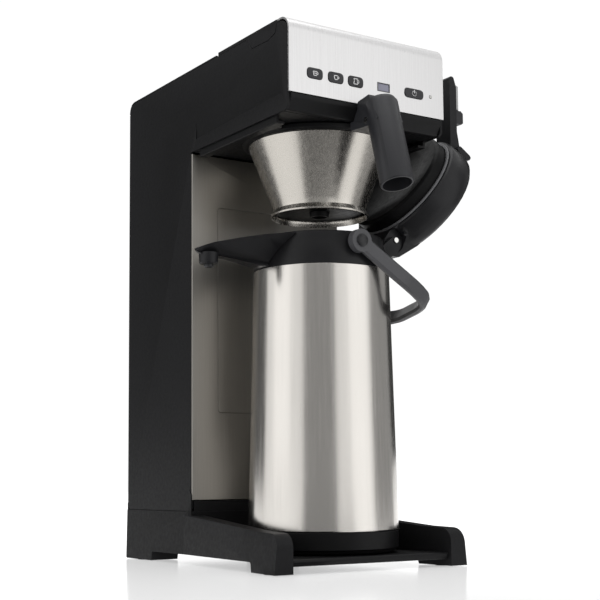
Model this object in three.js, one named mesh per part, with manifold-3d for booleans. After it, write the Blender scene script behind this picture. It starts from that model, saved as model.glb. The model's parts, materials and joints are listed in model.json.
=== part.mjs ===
// Drip coffee maker with a vacuum pump flask: millimetres, +Z up, front towards -Y.
// The model is built in the machine's own frame (x = 0 on the centre plane, y = 0 on the rear face,
// z = 0 on the table) and the whole group is then moved so that the origin is the middle of the footprint.
import * as THREE from 'three';
import { mergeVertices } from 'three/addons/utils/BufferGeometryUtils.js';
import Module from 'manifold-3d';

const wasm = await Module();
wasm.setup();

// ---------------------------------------------------------------- driving dimensions
const HEIGHT = 545;               // table to the top of the fill lid
const BODY_WIDTH = 195;           // over the two side panels
const HEAD_REACH = 354;           // rear face to the steel front of the head
const COLUMN_DEPTH = 157;         // rear face to the steel front of the column
const HEAD_BOTTOM = 449.8;        // lower edge of the head's side panels
const CHIN_TOP = 467;             // lower edge of the steel front
const BASE_TOP = 56.6;            // top of the column's foot
const BASE_FRONT_HALF = 117.3;    // half width of the arms at the front, on the table
const ARM_WIDTH = 21;             // width of an arm's foot at the front
const FOOT_GAP = 10.5;            // underside of the base above the table, between the feet
const FOOT_LENGTH_REAR = 64;
const FOOT_LENGTH_FRONT = 50;
const ARM_TOP_REAR = 52.3;        // arm height where it leaves the column
const ARM_TOP_FRONT = 40.3;       // arm height behind its nose
const NOSE_RADIUS = 14;
const PLATE_TOP = 14.5;           // top of the plate that the flask stands on
const PANEL = 2.8;                // wall of the moulded side panels
const SHEET = 2;                  // steel front, bent over at the top
const COVER = 1.5;                // column front, service cover and rear cover
const DECK = 2;                   // top deck
const LID_STEP = 1.5;             // the fill lid stands this much above the deck
const CORNER = 12;                // radius at the rear top corner
const FOLD = 14.5;                // outside radius of the steel front's fold
const GAP = 0.3;                  // between pieces that touch
const FIT = 0.4;                  // around pieces that slide in a hole

const FLASK_Y = -264;             // flask axis
const FLASK_FOOT = 37.8;          // lower edge of the steel shell
const FLASK_SHOULDER = 306.6;     // upper edge of the steel shell
const FLASK_RADIUS_LOW = 78.2;
const FLASK_RADIUS_HIGH = 71.9;
const FLASK_WALL = 1.2;
const COLLAR_TOP = 341.8;
const COLLAR_RADIUS_TOP = 66;
const MOUTH = 46;                 // radius of the flask's mouth
const CUP = 64;                   // radius of the recess above it that takes the lid's plug
const CUP_FLOOR = 320;
const SPOUT_REACH = 136.5;          // flask axis to the middle of the spout's cup
const SPOUT_TIP = 151;            // and to the tip of its beak
const SPOUT_CUP = 9.5;
const BAIL_PIVOT = 330;           // height of the bail's pivots
const BAIL_X = -3.5;              // and their distance from the flask axis, towards the hinge
const BAIL_LOWERED = 32;          // degrees below level, as it rests
const BAIL_REACH = 118.5;           // pivot axis to the middle of the grip
const BAIL_HALF = 75.4;           // half distance between the bail's arms
const BAIL_EYE = 12;
const BAIL_TALL = 17;
const BAIL_THICK = 8;
const HINGE_X = 76;               // flask lid's hinge, from the flask axis
const HINGE_Z = 345.5;
const LID_OPEN = 124;             // degrees from closed, as it stands
const LID_RADIUS = 72.5;
const LID_RIM = -6.5;             // lower rim of the lid, above the hinge axis when it is closed
const LID_TOP = 29;
const PLUG_RADIUS = 62.5;
const PLUG_LOW = -22.5;

const BASKET_Y = -262;            // filter basket axis
const CONE_TALL = 76;
const CONE_RADIUS_LOW = 51;
const CONE_RADIUS_TOP = 75.5;
const CONE_WALL = 1.2;
const RIM_RADIUS = 82;
const RIM_TALL = 6.6;
const WING_FIT = 3.4;             // between the rim's guide wings and the housing's inside
const GRIP_RADIUS = 17;           // basket handle
const GRIP_WALL = 2.2;
const GRIP_LENGTH = 94.9;
const GRIP_LEAN = 15.78;          // degrees from upright
const GRIP_FRONT = 18;            // handle's axis at its top, in front of the steel front
const GRIP_RISE = 18.9;           // and above the basket's rim

const BUTTON = [18.3, 10.5];      // the three cup buttons
const BUTTONS_X = [-66.8, -41.6, -17.2];
const POWER = [24.3, 9.6];
const POWER_X = 57.7;
const BUTTON_RISE = 22;           // buttons' middle line above the steel front's lower edge
const BUTTON_PROUD = 1;
const WINDOW = [14.2, 7.6];
const WINDOW_X = 18.2;
const LAMP_X = 80;
const LAMP_RADIUS = 1.7;
const SCREW = 3.2;

const HALF = BODY_WIDTH / 2;
const INSIDE = HALF - PANEL - GAP;       // half width of what fits between the side panels
const DECK_TOP = HEIGHT - LID_STEP;
const FACE = -HEAD_REACH;                // y of the steel front
const BUTTON_Z = CHIN_TOP + BUTTON_RISE;
const RIM_TOP = HEAD_BOTTOM - 0.2;
const CONE_TOP = RIM_TOP - RIM_TALL;
const CONE_LIP = CONE_TOP - CONE_TALL;   // lower edge of the steel cone
const WING_REACH = INSIDE - WING_FIT;    // half width over the wings
const PANEL_TOP = DECK_TOP - DECK - GAP;

// ---------------------------------------------------------------- materials
const paint = (color, roughness, metalness = 0) => new THREE.MeshStandardMaterial({ color, roughness, metalness });
const BLACK = () => paint(0x222223, 0.55);
const DARK = () => paint(0x161617, 0.6);
const GREY = () => paint(0x4a4b4e, 0.5);
const PALE = () => paint(0xb9bbbd, 0.45);
const STEEL = () => paint(0xc9c7c3, 0.3, 1);
const BRIGHT = () => paint(0xd6d5d2, 0.2, 1);
const RUBBER = () => paint(0x1b1b1b, 0.9);

// ---------------------------------------------------------------- geometry helpers
function closed(geometry) {
  const plain = geometry.index ? geometry : geometry.clone();
  plain.deleteAttribute('normal');
  plain.deleteAttribute('uv');
  const merged = mergeVertices(plain, 1e-4);
  const p = merged.attributes.position;
  const index = [];
  let volume = 0;
  const a = new THREE.Vector3(), b = new THREE.Vector3(), c = new THREE.Vector3();
  for (let i = 0; i < merged.index.count; i += 3) {
    const [u, v, w] = [0, 1, 2].map((k) => merged.index.getX(i + k));
    if (u === v || v === w || w === u) continue;
    index.push(u, v, w);
    a.fromBufferAttribute(p, u);
    b.fromBufferAttribute(p, v);
    c.fromBufferAttribute(p, w);
    volume += a.dot(b.cross(c));
  }
  if (volume < 0) for (let i = 0; i < index.length; i += 3) [index[i], index[i + 1]] = [index[i + 1], index[i]];
  merged.setIndex(index);
  return merged;
}
function solid(geometry) {
  const g = closed(geometry);
  return new wasm.Manifold(new wasm.Mesh({
    numProp: 3,
    vertProperties: Float32Array.from(g.attributes.position.array),
    triVerts: Uint32Array.from(g.index.array),
  }));
}
function surface(manifold) {
  const mesh = manifold.getMesh();
  const g = new THREE.BufferGeometry();
  g.setAttribute('position', new THREE.BufferAttribute(Float32Array.from(mesh.vertProperties), 3));
  g.setIndex(new THREE.BufferAttribute(Uint32Array.from(mesh.triVerts), 1));
  return g;
}
const join = (first, ...rest) => surface(rest.reduce((s, g) => s.add(solid(g)), solid(first)));
const cut = (first, ...rest) => surface(rest.reduce((s, g) => s.subtract(solid(g)), solid(first)));

// A closed outline from [a, b, radius] corners; the radius rounds that corner.
function outline(corners, steps = 4) {
  const out = [];
  corners.forEach(([x, y, r = 0], i) => {
    const p = new THREE.Vector2(x, y);
    if (!r) { out.push(p); return; }
    const [ax, ay] = corners[(i + corners.length - 1) % corners.length];
    const [bx, by] = corners[(i + 1) % corners.length];
    const a = new THREE.Vector2(ax, ay).sub(p).normalize();
    const b = new THREE.Vector2(bx, by).sub(p).normalize();
    const half = Math.acos(THREE.MathUtils.clamp(a.dot(b), -1, 1)) / 2;
    const centre = a.clone().add(b).normalize().multiplyScalar(r / Math.sin(half)).add(p);
    const from = a.clone().multiplyScalar(r / Math.tan(half)).add(p).sub(centre);
    const to = b.clone().multiplyScalar(r / Math.tan(half)).add(p).sub(centre);
    let turn = to.angle() - from.angle();
    if (turn > Math.PI) turn -= 2 * Math.PI;
    if (turn < -Math.PI) turn += 2 * Math.PI;
    for (let k = 0; k <= steps; k++) {
      out.push(from.clone().rotateAround(new THREE.Vector2(), (turn * k) / steps).add(centre));
    }
  });
  return out;
}
const box2 = (x0, x1, y0, y1, r = 0) => [[x0, y0, r], [x1, y0, r], [x1, y1, r], [x0, y1, r]];
function extrude(points, depth) {
  return new THREE.ExtrudeGeometry(new THREE.Shape(points), { depth, bevelEnabled: false, steps: 1 });
}
const AXES = {
  x: new THREE.Matrix4().makeBasis(new THREE.Vector3(0, 1, 0), new THREE.Vector3(0, 0, 1), new THREE.Vector3(1, 0, 0)),
  y: new THREE.Matrix4().makeBasis(new THREE.Vector3(-1, 0, 0), new THREE.Vector3(0, 0, 1), new THREE.Vector3(0, 1, 0)),
};
// Prisms along one axis: X takes (y, z) corners, Y takes (x, z), Z takes (x, y).
const prismX = (corners, x0, x1, steps) =>
  extrude(outline(corners, steps), x1 - x0).applyMatrix4(AXES.x).translate(x0, 0, 0);
const prismY = (corners, y0, y1, steps) =>
  extrude(outline(corners.map(([x, z, r]) => [-x, z, r]), steps), y1 - y0).applyMatrix4(AXES.y).translate(0, y0, 0);
const prismZ = (corners, z0, z1, steps) => extrude(outline(corners, steps), z1 - z0).translate(0, 0, z0);
const block = (x0, x1, y0, y1, z0, z1) =>
  new THREE.BoxGeometry(x1 - x0, y1 - y0, z1 - z0).translate((x0 + x1) / 2, (y0 + y1) / 2, (z0 + z1) / 2);
// A turned piece about Z; the profile is [radius, z] and starts and ends on the axis.
const turned = (profile, segments = 48) =>
  new THREE.LatheGeometry(profile.map(([r, z]) => new THREE.Vector2(r, z)), segments).rotateX(Math.PI / 2);
// A turned ring: the profile closes on itself.
const ring = (profile, segments = 48) => turned([...profile, profile[0]], segments);
const rod = (r, z0, z1, segments = 20) => new THREE.CylinderGeometry(r, r, z1 - z0, segments)
  .rotateX(Math.PI / 2).translate(0, 0, (z0 + z1) / 2);
const rodX = (r, x0, x1, y, z, segments = 20) => rod(r, x0, x1, segments).rotateY(Math.PI / 2).translate(0, y, z);
const rodY = (r, y0, y1, x, z, segments = 20) => rod(r, y0, y1, segments).rotateX(-Math.PI / 2).translate(x, 0, z);
// Moves every vertex by a rule of its own position.
function warp(geometry, rule) {
  const g = geometry.clone();
  const p = g.attributes.position;
  const v = new THREE.Vector3();
  for (let i = 0; i < p.count; i++) {
    v.fromBufferAttribute(p, i);
    rule(v);
    p.setXYZ(i, v.x, v.y, v.z);
  }
  return g;
}
const mirrored = (geometry) => warp(geometry, (v) => { v.x = -v.x; });
const lerp = THREE.MathUtils.lerp;

const machine = new THREE.Group();
function add(group, name, geometry, material) {
  const mesh = new THREE.Mesh(closed(geometry), material);
  mesh.name = name;
  group.add(mesh);
  return mesh;
}

// ---------------------------------------------------------------- base
// How far along the splayed arms a point is: 0 at the column front, 1 at the nose.
const along = (y) => THREE.MathUtils.clamp((-COLUMN_DEPTH - y) / (HEAD_REACH - COLUMN_DEPTH), 0, 1);
const BASE_REAR_HALF = HALF + 1.6;
const outerHalf = (y, z) => lerp(BASE_REAR_HALF, BASE_FRONT_HALF, along(y)) - lerp(0.02, 0.097, along(y)) * z;
const innerHalf = (y) =>
  lerp(HALF - 11.5, BASE_FRONT_HALF - ARM_WIDTH, (-COLUMN_DEPTH - y) / (HEAD_REACH - COLUMN_DEPTH));
const SKIRT = 0.8;                       // the base's feet end this far above the table, on rubber pads
const RIM_REAR = 65;                     // the base rises to here behind the side panels
const RIM_FRONT = 80;                    // and to here in front of them

const footRear = prismX(
  [[0, SKIRT, 2], [-FOOT_LENGTH_REAR, SKIRT], [-FOOT_LENGTH_REAR - 3, FOOT_GAP + 2], [0, FOOT_GAP + 2]], 0, 1);
const columnFoot = prismX([[0, FOOT_GAP], [-COLUMN_DEPTH - 0.4, FOOT_GAP], [-COLUMN_DEPTH - 0.4, BASE_TOP],
  [0, BASE_TOP]], -1, 1);
const armSide = prismX([
  [-COLUMN_DEPTH + 17, FOOT_GAP], [-HEAD_REACH + FOOT_LENGTH_FRONT + 3, FOOT_GAP, 3], [-HEAD_REACH + FOOT_LENGTH_FRONT, SKIRT],
  [-HEAD_REACH, SKIRT], [-HEAD_REACH, ARM_TOP_FRONT - 1.5, NOSE_RADIUS], [-HEAD_REACH + 44, ARM_TOP_FRONT],
  [-COLUMN_DEPTH - 7, ARM_TOP_REAR], [-COLUMN_DEPTH + 17, ARM_TOP_REAR]], 0, 1, 6);
const arm = (sign) => warp(armSide, (v) => { v.x = sign * lerp(innerHalf(v.y), outerHalf(v.y, v.z), v.x); });
const foot = (sign) => warp(footRear, (v) => { v.x = sign * lerp(HALF - 32, outerHalf(v.y, v.z), v.x); });
const horn = (sign) => prismX([[-COLUMN_DEPTH - 0.4, BASE_TOP - 5], [-COLUMN_DEPTH + 8, BASE_TOP - 5],
  [-COLUMN_DEPTH + 5, BASE_TOP + 6], [-COLUMN_DEPTH + 4, RIM_FRONT], [-COLUMN_DEPTH - 0.4, RIM_FRONT - 6]],
Math.min(sign * (HALF + GAP), sign * (HALF + 1)), Math.max(sign * (HALF + GAP), sign * (HALF + 1)));
const PAD_REAR = [-30, HALF - 9.5, 9.5];                             // y, x and radius
const PAD_FRONT = [-HEAD_REACH + 25, BASE_FRONT_HALF - 12.3, 7.5];
const PADS = [[-1, ...PAD_REAR], [1, ...PAD_REAR], [-1, ...PAD_FRONT], [1, ...PAD_FRONT]];
const padCut = PADS.map(([s, y, x, r]) => rod(r + GAP, -1, 3 + GAP).translate(s * x, y, 0));
const rearSill = block(-HALF, HALF, -1.6, 0, BASE_TOP - 2, RIM_REAR);
const columnSill = block(-INSIDE, INSIDE, -COLUMN_DEPTH + 1, -COLUMN_DEPTH + 5, BASE_TOP - 2, RIM_FRONT - 12);
add(machine, 'base_frame', cut(
  join(warp(columnFoot, (v) => { v.x *= outerHalf(v.y, v.z); }), arm(-1), arm(1), foot(-1), foot(1),
    horn(-1), horn(1), rearSill, columnSill),
  ...padCut), BLACK());
['rear_left', 'rear_right', 'front_left', 'front_right'].forEach((where, i) => {
  const [s, y, x, r] = PADS[i];
  add(machine, `foot_pad_${where}`, rod(r, 0, 3).translate(s * x, y, 0), RUBBER());
});
const PLATE_FRONT = -HEAD_REACH + 4;
const PLATE_LIP = 7;                     // depth of the plate's rolled front edge
const plateSide = prismX([
  [-COLUMN_DEPTH - 0.7, PLATE_TOP], [-COLUMN_DEPTH - 0.7, FOOT_GAP], [PLATE_FRONT + 9, FOOT_GAP],
  [PLATE_FRONT + 7, PLATE_TOP - PLATE_LIP], [PLATE_FRONT + 1, PLATE_TOP - PLATE_LIP, 1.5],
  [PLATE_FRONT - 0.6, PLATE_TOP - 3, 1], [PLATE_FRONT, PLATE_TOP, 2.5]], -1, 1);
add(machine, 'flask_plate', warp(plateSide, (v) => { v.x *= innerHalf(v.y) - GAP; }), DARK());

// ---------------------------------------------------------------- shell of the column and the head
const PANEL_FRONT = FACE + SHEET + 0.8;
const panelSide = [
  [-1.6 - GAP, BASE_TOP + GAP, 5], [-1.6 - GAP, PANEL_TOP, CORNER - 2.4], [PANEL_FRONT, PANEL_TOP, FOLD - SHEET - 0.4],
  [PANEL_FRONT, HEAD_BOTTOM, 6], [-COLUMN_DEPTH + 2.2, HEAD_BOTTOM, 1.5], [-COLUMN_DEPTH + 2.2, BASE_TOP + GAP, 5]];
// The finger tab of the fill lid, and its notch in the side panel's upper edge.
const TAB_TALL = 12.6;
const TAB = [[-273.5, PANEL_TOP + 1], [-285, PANEL_TOP - TAB_TALL + 0.8], [-316, PANEL_TOP - TAB_TALL, 4],
  [-330, PANEL_TOP - TAB_TALL + 3.9, 5], [-332, PANEL_TOP + 1]];
const notch = [[-272.6, PANEL_TOP + 2], [-284.8, PANEL_TOP - TAB_TALL + 0.2], [-316.2, PANEL_TOP - TAB_TALL - 0.6, 4],
  [-330.6, PANEL_TOP - TAB_TALL + 3.4, 5], [-332.8, PANEL_TOP + 2]];
// The head's side is pinched above a crease: the panel leans in by CREASE and steps out again below it.
const CREASE = 1.4;
const CREASE_REAR = [-COLUMN_DEPTH - 9, HEAD_BOTTOM + 12.2];
const CREASE_FRONT = [-HEAD_REACH + 15, HEAD_BOTTOM + 18.7];
const creaseCut = warp(prismY([[0, 0], [0, 20], [CREASE, 0]], 0, 1), (v) => {
  const y = lerp(CREASE_FRONT[0], CREASE_REAR[0], v.y);
  v.z += lerp(CREASE_FRONT[1], CREASE_REAR[1], v.y);
  v.set(-HALF - 0.01 + v.x, y, v.z);
});
const sidePanel = cut(prismX(panelSide, -HALF, -HALF + PANEL, 5), prismX(notch, -HALF - 1, -HALF + PANEL + 1),
  creaseCut);
add(machine, 'side_panel_left', sidePanel, BLACK());
add(machine, 'side_panel_right', mirrored(sidePanel), BLACK());

const deckSide = [[-209, DECK_TOP], [0, DECK_TOP, CORNER], [0, DECK_TOP - CORNER - 1.6], [-DECK + 0.4, DECK_TOP - CORNER - 1.6],
  [-DECK + 0.4, DECK_TOP - DECK, CORNER - DECK + 0.4], [-209, DECK_TOP - DECK]];
// Over the side walls the deck reaches a little further forward, up to the swing of the fill lid's corners.
const cheek = (s) => block(s > 0 ? HALF - PANEL - 0.2 : -HALF, s > 0 ? HALF : -HALF + PANEL + 0.2, -211.2, -208,
  DECK_TOP - DECK, DECK_TOP);
add(machine, 'top_deck', join(prismX(deckSide, -HALF, HALF, 5), cheek(-1), cheek(1)), BLACK());

const VENTS = [-3, -2, -1, 0, 1, 2, 3];
const VENT_Z = DECK_TOP - 103.5;
const INLET = { x0: -64, x1: -36, z0: BASE_TOP + 27.4, z1: BASE_TOP + 49.4 };
const inletCut = block(INLET.x0, INLET.x1, -3, 1, INLET.z0, INLET.z1);
add(machine, 'rear_cover', cut(
  block(-HALF + 0.4, HALF - 0.4, -1.4, 0, RIM_REAR + GAP, DECK_TOP - CORNER - 1.6 - GAP),
  ...VENTS.map((k) => prismY(box2(-32, 32, VENT_Z + 11 * k - 2, VENT_Z + 11 * k + 2, 1.9), -3, 1, 3)),
  inletCut), BLACK());
add(machine, 'power_inlet', cut(
  block(INLET.x0 + GAP, INLET.x1 - GAP, -19, 1.4, INLET.z0 + GAP, INLET.z1 - GAP),
  block(INLET.x0 + 5, INLET.x1 - 5, -14, 3, INLET.z0 + 5, INLET.z1 - 5)), DARK());

// The column's steel front, with an inset cover that gives access to the inside.
const SERVICE = { half: 65, z0: BASE_TOP + 106.4, z1: HEAD_BOTTOM - 58.8 };
add(machine, 'column_front', cut(
  prismZ([[-HALF + 0.4, -COLUMN_DEPTH, 1], [HALF - 0.4, -COLUMN_DEPTH, 1], [HALF - 0.4, -COLUMN_DEPTH + COVER],
    [-HALF + 0.4, -COLUMN_DEPTH + COVER]], BASE_TOP + 12 + GAP, HEAD_BOTTOM - 2.2, 3),
  prismY(box2(-SERVICE.half, SERVICE.half, SERVICE.z0, SERVICE.z1, 4), -COLUMN_DEPTH - 1, -COLUMN_DEPTH + 3)), STEEL());
add(machine, 'service_cover',
  prismY(box2(-SERVICE.half + FIT, SERVICE.half - FIT, SERVICE.z0 + FIT, SERVICE.z1 - FIT, 4 - FIT),
    -COLUMN_DEPTH + 0.1, -COLUMN_DEPTH + COVER), STEEL());

// Steel front: one sheet, folded over the top of the head, with the buttons' openings.
const FRONT_FOLD = FACE + 20;             // rear edge of the sheet's folded top
const front = prismX([[FACE, CHIN_TOP], [FACE, HEIGHT, FOLD], [FRONT_FOLD, HEIGHT], [FRONT_FOLD, HEIGHT - SHEET],
  [FACE + SHEET, HEIGHT - SHEET, FOLD - SHEET], [FACE + SHEET, CHIN_TOP]], -HALF + 0.3, HALF - 0.3, 6);
const keyhole = (x, [w, h], r, more) => prismY(
  box2(x - w / 2 - more, x + w / 2 + more, BUTTON_Z - h / 2 - more, BUTTON_Z + h / 2 + more, r + more),
  FACE - 2, FACE + SHEET + 2, 3);
add(machine, 'front_panel', cut(front,
  ...BUTTONS_X.map((x) => keyhole(x, BUTTON, 3.5, FIT)), keyhole(POWER_X, POWER, 3.5, FIT),
  keyhole(WINDOW_X, WINDOW, 0.8, FIT), rodY(LAMP_RADIUS + GAP, FACE - 2, FACE + SHEET + 2, LAMP_X, BUTTON_Z, 16)), STEEL());

const DECK_Z = HEAD_BOTTOM + 0.5;
const CHIN_REAR = FACE + 14.5;
add(machine, 'chin', prismX([[FACE + 0.8, CHIN_TOP - GAP], [FACE + 0.8, CHIN_TOP - 5, 4], [FACE + 8, DECK_Z, 3],
  [CHIN_REAR, DECK_Z], [CHIN_REAR, CHIN_TOP - GAP]], -INSIDE, INSIDE), BLACK());
const SPRAY_RADIUS = 28;
add(machine, 'brew_deck', cut(block(-INSIDE, INSIDE, CHIN_REAR + GAP, -COLUMN_DEPTH + 2.5, DECK_Z, DECK_Z + 3),
  rod(SPRAY_RADIUS + FIT, DECK_Z - 1, DECK_Z + 4, 32).translate(0, BASKET_Y, 0)), DARK());
add(machine, 'spray_head', turned([[0, DECK_Z], [SPRAY_RADIUS - 2, DECK_Z], [SPRAY_RADIUS, DECK_Z + 2],
  [SPRAY_RADIUS, DECK_Z + 6], [8, DECK_Z + 11], [0, DECK_Z + 11]], 32).translate(0, BASKET_Y, 0), DARK());
// Rails that carry the basket's wings.
const WING_LOW = RIM_TOP - 4.4;
const WING_HIGH = RIM_TOP - 1.4;
const rail = prismY([[-INSIDE, DECK_Z - GAP], [-INSIDE, WING_LOW - 3.2, 1], [-WING_REACH + 6.5, WING_LOW - 3.2],
  [-WING_REACH + 6.5, WING_LOW - GAP], [-WING_REACH - GAP, WING_LOW - GAP], [-WING_REACH - GAP, DECK_Z - GAP]],
FACE + 28, -COLUMN_DEPTH - 12);
add(machine, 'basket_rail_left', rail, DARK());
add(machine, 'basket_rail_right', mirrored(rail), DARK());

// ---------------------------------------------------------------- inside the housing
const TANK = { x: INSIDE - 10.4, y0: -14, y1: -COLUMN_DEPTH + 23, z0: 236, z1: HEAD_BOTTOM - 19.8, wall: 2.5 };
add(machine, 'water_tank', cut(
  prismZ(box2(-TANK.x, TANK.x, TANK.y1, TANK.y0, 10), TANK.z0, TANK.z1, 3),
  prismZ(box2(-TANK.x + TANK.wall, TANK.x - TANK.wall, TANK.y1 + TANK.wall, TANK.y0 - TANK.wall, 8),
    TANK.z0 + TANK.wall, TANK.z1 + 1, 3)), PALE());
const HEATER = { y: -78, radius: 40, top: TANK.z0 - 42 };
add(machine, 'heater', turned([[0, BASE_TOP + GAP], [HEATER.radius - 6, BASE_TOP + GAP], [HEATER.radius, BASE_TOP + 6],
  [HEATER.radius, HEATER.top - 6], [HEATER.radius - 6, HEATER.top], [0, HEATER.top]], 32).translate(0, HEATER.y, 0), STEEL());
const PIPE = 4;
const PIPE_LOW = HEATER.top - 74;
const PIPE_HIGH = DECK_Z + 26.7;
const PIPE_Y = -COLUMN_DEPTH + 12;
const pipePath = new THREE.CatmullRomCurve3([[HEATER.y - HEATER.radius - 1, PIPE_LOW], [PIPE_Y + 7, PIPE_LOW],
  [PIPE_Y, PIPE_LOW + 8], [PIPE_Y, 300], [PIPE_Y, PIPE_HIGH - 11], [PIPE_Y - 7, PIPE_HIGH - 1], [PIPE_Y - 55, PIPE_HIGH],
  [BASKET_Y + 9, PIPE_HIGH], [BASKET_Y, PIPE_HIGH - 5], [BASKET_Y, DECK_Z + 11.5]]
  .map(([y, z]) => new THREE.Vector3(0, y, z)), false, 'centripetal');
const circle = (r, sides) => Array.from({ length: sides }, (_, i) => new THREE.Vector2(
  r * Math.cos((2 * Math.PI * i) / sides), r * Math.sin((2 * Math.PI * i) / sides)));
add(machine, 'riser_pipe', new THREE.ExtrudeGeometry(new THREE.Shape(circle(PIPE, 8)),
  { steps: 36, extrudePath: pipePath, bevelEnabled: false }), BRIGHT());
const TRAY = { x: INSIDE - 12.4, y0: -228, y1: FACE + 28, z0: DECK_TOP - 46.5, z1: DECK_TOP - 7.5, wall: 2.5 };
add(machine, 'fill_tray', cut(
  prismZ(box2(-TRAY.x, TRAY.x, TRAY.y1, TRAY.y0, 10), TRAY.z0, TRAY.z1, 3),
  prismZ(box2(-TRAY.x + TRAY.wall, TRAY.x - TRAY.wall, TRAY.y1 + TRAY.wall, TRAY.y0 - TRAY.wall, 8),
    TRAY.z0 + TRAY.wall, TRAY.z1 + 1, 3),
  rod(12, TRAY.z0 - 1, TRAY.z0 + 5, 24).translate(0, TRAY.y0 - 22, 0)), PALE());
add(machine, 'control_board', block(-INSIDE + 10.4, INSIDE - 6.4, FACE + 15.8, FACE + 17.4, CHIN_TOP + 5, CHIN_TOP + 39),
  paint(0x2d5a3a, 0.6));

// ---------------------------------------------------------------- fill lid, hinged at its rear edge
const LID_PIN = [-215.5, DECK_TOP - 2.5];
const LUG_X = INSIDE - 28.4;
const lug = (sign) => rodX(4, sign * LUG_X - 6, sign * LUG_X + 6, LID_PIN[0], LID_PIN[1], 20);
const LID_REAR = -210.8;
const LID_INNER = HALF - PANEL - 0.4;    // behind the pins the lid is only as wide as the room between the side panels
const tab = (sign) => prismX(TAB, Math.min(sign * (HALF - PANEL + 0.2), sign * HALF),
  Math.max(sign * (HALF - PANEL + 0.2), sign * HALF));
const PIN = 1.8;
add(machine, 'fill_lid', cut(
  join(prismZ([[-HALF, FRONT_FOLD + 0.4, 2], [HALF, FRONT_FOLD + 0.4, 2], [HALF, LID_PIN[0] - 0.2], [LID_INNER, LID_PIN[0] - 0.2],
    [LID_INNER, LID_REAR], [-LID_INNER, LID_REAR], [-LID_INNER, LID_PIN[0] - 0.2], [-HALF, LID_PIN[0] - 0.2]],
  DECK_TOP - DECK, HEIGHT, 2), lug(-1), lug(1), tab(-1), tab(1)),
  rodX(PIN + GAP, -HALF + PANEL, -LUG_X + 7, LID_PIN[0], LID_PIN[1], 16),
  rodX(PIN + GAP, LUG_X - 7, HALF - PANEL, LID_PIN[0], LID_PIN[1], 16)), BLACK());
['left', 'right'].forEach((where, i) => {
  const s = i ? 1 : -1;
  const x = [s * (LUG_X - 6.6), s * (INSIDE)].sort((a, b) => a - b);
  add(machine, `fill_lid_pin_${where}`, rodX(PIN, x[0], x[1], LID_PIN[0], LID_PIN[1], 16), BRIGHT());
});

// ---------------------------------------------------------------- buttons, window and lamp
const key = (x, [w, h], r) => join(
  prismY(box2(x - w / 2, x + w / 2, BUTTON_Z - h / 2, BUTTON_Z + h / 2, r), FACE - BUTTON_PROUD, FACE + 4, 3),
  rodY(2.5, FACE + 3, FACE + 12, x, BUTTON_Z, 12));
BUTTONS_X.forEach((x, i) => add(machine, `cup_button_${i + 1}`, key(x, BUTTON, 3.5), GREY()));
add(machine, 'power_button', key(POWER_X, POWER, 3.5), GREY());
add(machine, 'display_window', prismY(box2(WINDOW_X - WINDOW[0] / 2, WINDOW_X + WINDOW[0] / 2,
  BUTTON_Z - WINDOW[1] / 2, BUTTON_Z + WINDOW[1] / 2, 0.8), FACE + 0.3, FACE + 3, 2), paint(0x8b9aa6, 0.25));
add(machine, 'status_lamp', rodY(LAMP_RADIUS, FACE - 0.4, FACE + 5, LAMP_X, BUTTON_Z, 16), paint(0xc8c8c4, 0.3));

// ---------------------------------------------------------------- filter basket
const basket = new THREE.Group();
basket.position.set(0, BASKET_Y, 0);
machine.add(basket);
const slope = (CONE_RADIUS_TOP - CONE_RADIUS_LOW) / (CONE_TOP - CONE_LIP - 14);
const coneRadius = (z) => CONE_RADIUS_LOW + slope * (z - CONE_LIP - 14);
add(basket, 'filter_cone', ring([
  [CONE_RADIUS_LOW - 0.6, CONE_LIP], [CONE_RADIUS_LOW + 0.9, CONE_LIP + 0.4], [CONE_RADIUS_LOW + 1.4, CONE_LIP + 2],
  [CONE_RADIUS_LOW + 0.4, CONE_LIP + 3.6], [CONE_RADIUS_LOW - 1.4, CONE_LIP + 7], [CONE_RADIUS_LOW, CONE_LIP + 14],
  [CONE_RADIUS_TOP, CONE_TOP], [CONE_RADIUS_TOP - CONE_WALL, CONE_TOP], [CONE_RADIUS_LOW - CONE_WALL, CONE_LIP + 14.2],
  [CONE_RADIUS_LOW - 2.6, CONE_LIP + 7], [CONE_RADIUS_LOW - 1.6, CONE_LIP + 3.4]], 48), BRIGHT());
const rimRing = ring([[CONE_RADIUS_TOP - 4, CONE_TOP + GAP], [RIM_RADIUS - 4, CONE_TOP + GAP], [RIM_RADIUS, CONE_TOP + 2],
  [RIM_RADIUS, RIM_TOP - 1], [RIM_RADIUS - 1, RIM_TOP], [CONE_RADIUS_TOP - 4, RIM_TOP]], 48);
const wing = (s) => prismZ(box2(Math.min(s * 74, s * WING_REACH), Math.max(s * 74, s * WING_REACH), -46, 46, 5),
  WING_LOW, WING_HIGH, 3);
const NECK = 16;
add(basket, 'filter_rim', cut(join(rimRing, wing(-1), wing(1)),
rod(CONE_RADIUS_TOP - 4, CONE_TOP - 5, RIM_TOP + 5, 48)), BLACK());
// Inner funnel: a cup inside the cone, with a drip outlet in the middle of its floor.
const INNER = CONE_WALL + 0.8;
add(basket, 'filter_funnel', ring([
  [8, CONE_LIP + 1], [10, CONE_LIP + 1], [11, CONE_LIP + 6], [CONE_RADIUS_LOW - 4.4, CONE_LIP + 6],
  [coneRadius(CONE_LIP + 22) - INNER, CONE_LIP + 22],
  [CONE_RADIUS_TOP - INNER - 1, CONE_TOP - 2], [CONE_RADIUS_TOP - INNER - 3.2, CONE_TOP - 2],
  [coneRadius(CONE_LIP + 24) - INNER - 2.4, CONE_LIP + 24.5], [CONE_RADIUS_LOW - 7, CONE_LIP + 8.2],
  [9, CONE_LIP + 8.2]], 40), DARK());
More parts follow.
